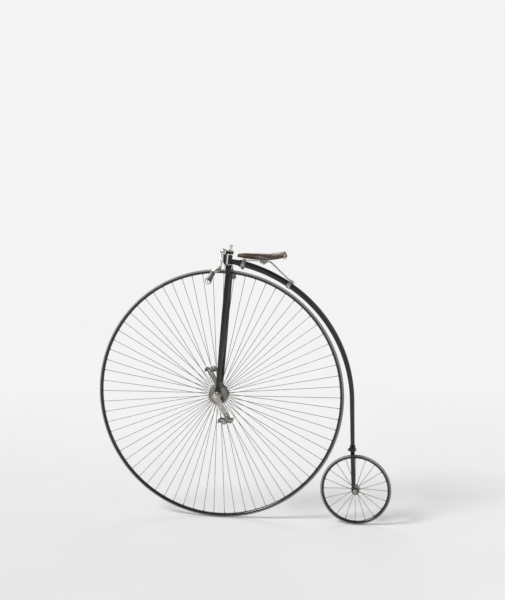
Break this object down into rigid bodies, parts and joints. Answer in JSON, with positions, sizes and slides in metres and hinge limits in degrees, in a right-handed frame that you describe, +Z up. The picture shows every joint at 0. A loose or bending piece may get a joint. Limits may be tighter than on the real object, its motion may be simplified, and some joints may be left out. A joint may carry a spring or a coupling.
{
  "type": "penny farthing bicycle",
  "caption": "High-wheel bicycle with a large direct-drive front wheel, small rear wheel, curved backbone, open steering head and sprung leather saddle.",
  "frame": {"origin": "middle of the saddle's top, where the rider sits", "axes": "+X forward along the machine, +Y to its left, +Z up"},
  "size_m": [1.6266, 0.7028, 1.5044],
  "materials": {
    "black_enamel": "gloss stoved enamel",
    "tyre_rubber": "matt grey solid rubber",
    "spoke_steel": "dull drawn wire",
    "nickel_plate": "polished nickel plate",
    "bright_steel": "worn bright steel",
    "pedal_steel": "blackened steel with bright tooth tips",
    "horn_black": "polished dark horn",
    "saddle_leather": "dark brown worn leather"
  },
  "bodies": {
    "frame": {"neck": "black_enamel", "backbone": "black_enamel", "rear_fork": "black_enamel", "rear_axle": "bright_steel", "rear_axle_nuts": "bright_steel", "mounting_step": "black_enamel", "saddle_leather": "saddle_leather", "saddle_frame": "bright_steel", "saddle_spring": "bright_steel", "saddle_clamp": "bright_steel", "saddle_bolt": "bright_steel", "spring_clip": "bright_steel", "spring_screw": "bright_steel", "spring_slider": "bright_steel"},
    "steering": {"steering_head": "black_enamel", "centre_bolt": "nickel_plate", "lock_nut": "nickel_plate", "fork_blade_left": "black_enamel", "fork_blade_right": "black_enamel", "bearing_case_left": "nickel_plate", "bearing_case_right": "nickel_plate", "handlebar": "nickel_plate", "grip_left": "horn_black", "grip_right": "horn_black", "grip_cap_left": "nickel_plate", "grip_cap_right": "nickel_plate"},
    "front_wheel": {"front_tyre": "tyre_rubber", "front_rim": "black_enamel", "front_spokes_left": "spoke_steel", "front_spokes_right": "spoke_steel", "front_hub": "nickel_plate", "front_axle": "bright_steel", "crank_left": "nickel_plate", "crank_right": "nickel_plate", "pedal_pin_left": "bright_steel", "pedal_pin_right": "bright_steel"},
    "left_pedal": {"pedal_barrel_left": "bright_steel", "pedal_cage_left": "pedal_steel"},
    "right_pedal": {"pedal_barrel_right": "bright_steel", "pedal_cage_right": "pedal_steel"},
    "rear_wheel": {"rear_tyre": "tyre_rubber", "rear_rim": "black_enamel", "rear_spokes_left": "spoke_steel", "rear_spokes_right": "spoke_steel", "rear_hub": "nickel_plate"}
  },
  "joints": [
    {"name": "steering", "type": "hinge", "parent": "frame", "child": "steering", "pos_m": [0.255, 0, -0.77427], "axis": [-0.0872, 0, 0.9962], "range_deg": [-60, 60]},
    {"name": "front_wheel_spin", "type": "hinge", "parent": "steering", "child": "front_wheel", "pos_m": [0.255, 0, -0.77427], "axis": [0, 1, 0], "continuous": true},
    {"name": "left_pedal_spin", "type": "hinge", "parent": "front_wheel", "child": "left_pedal", "pos_m": [0.1885, 0.14, -0.88945], "axis": [0, 1, 0], "continuous": true},
    {"name": "right_pedal_spin", "type": "hinge", "parent": "front_wheel", "child": "right_pedal", "pos_m": [0.3215, -0.14, -0.65909], "axis": [0, 1, 0], "continuous": true},
    {"name": "rear_wheel_spin", "type": "hinge", "parent": "frame", "child": "rear_wheel", "pos_m": [-0.49512, 0, -1.26977], "axis": [0, 1, 0], "continuous": true}
  ]
}
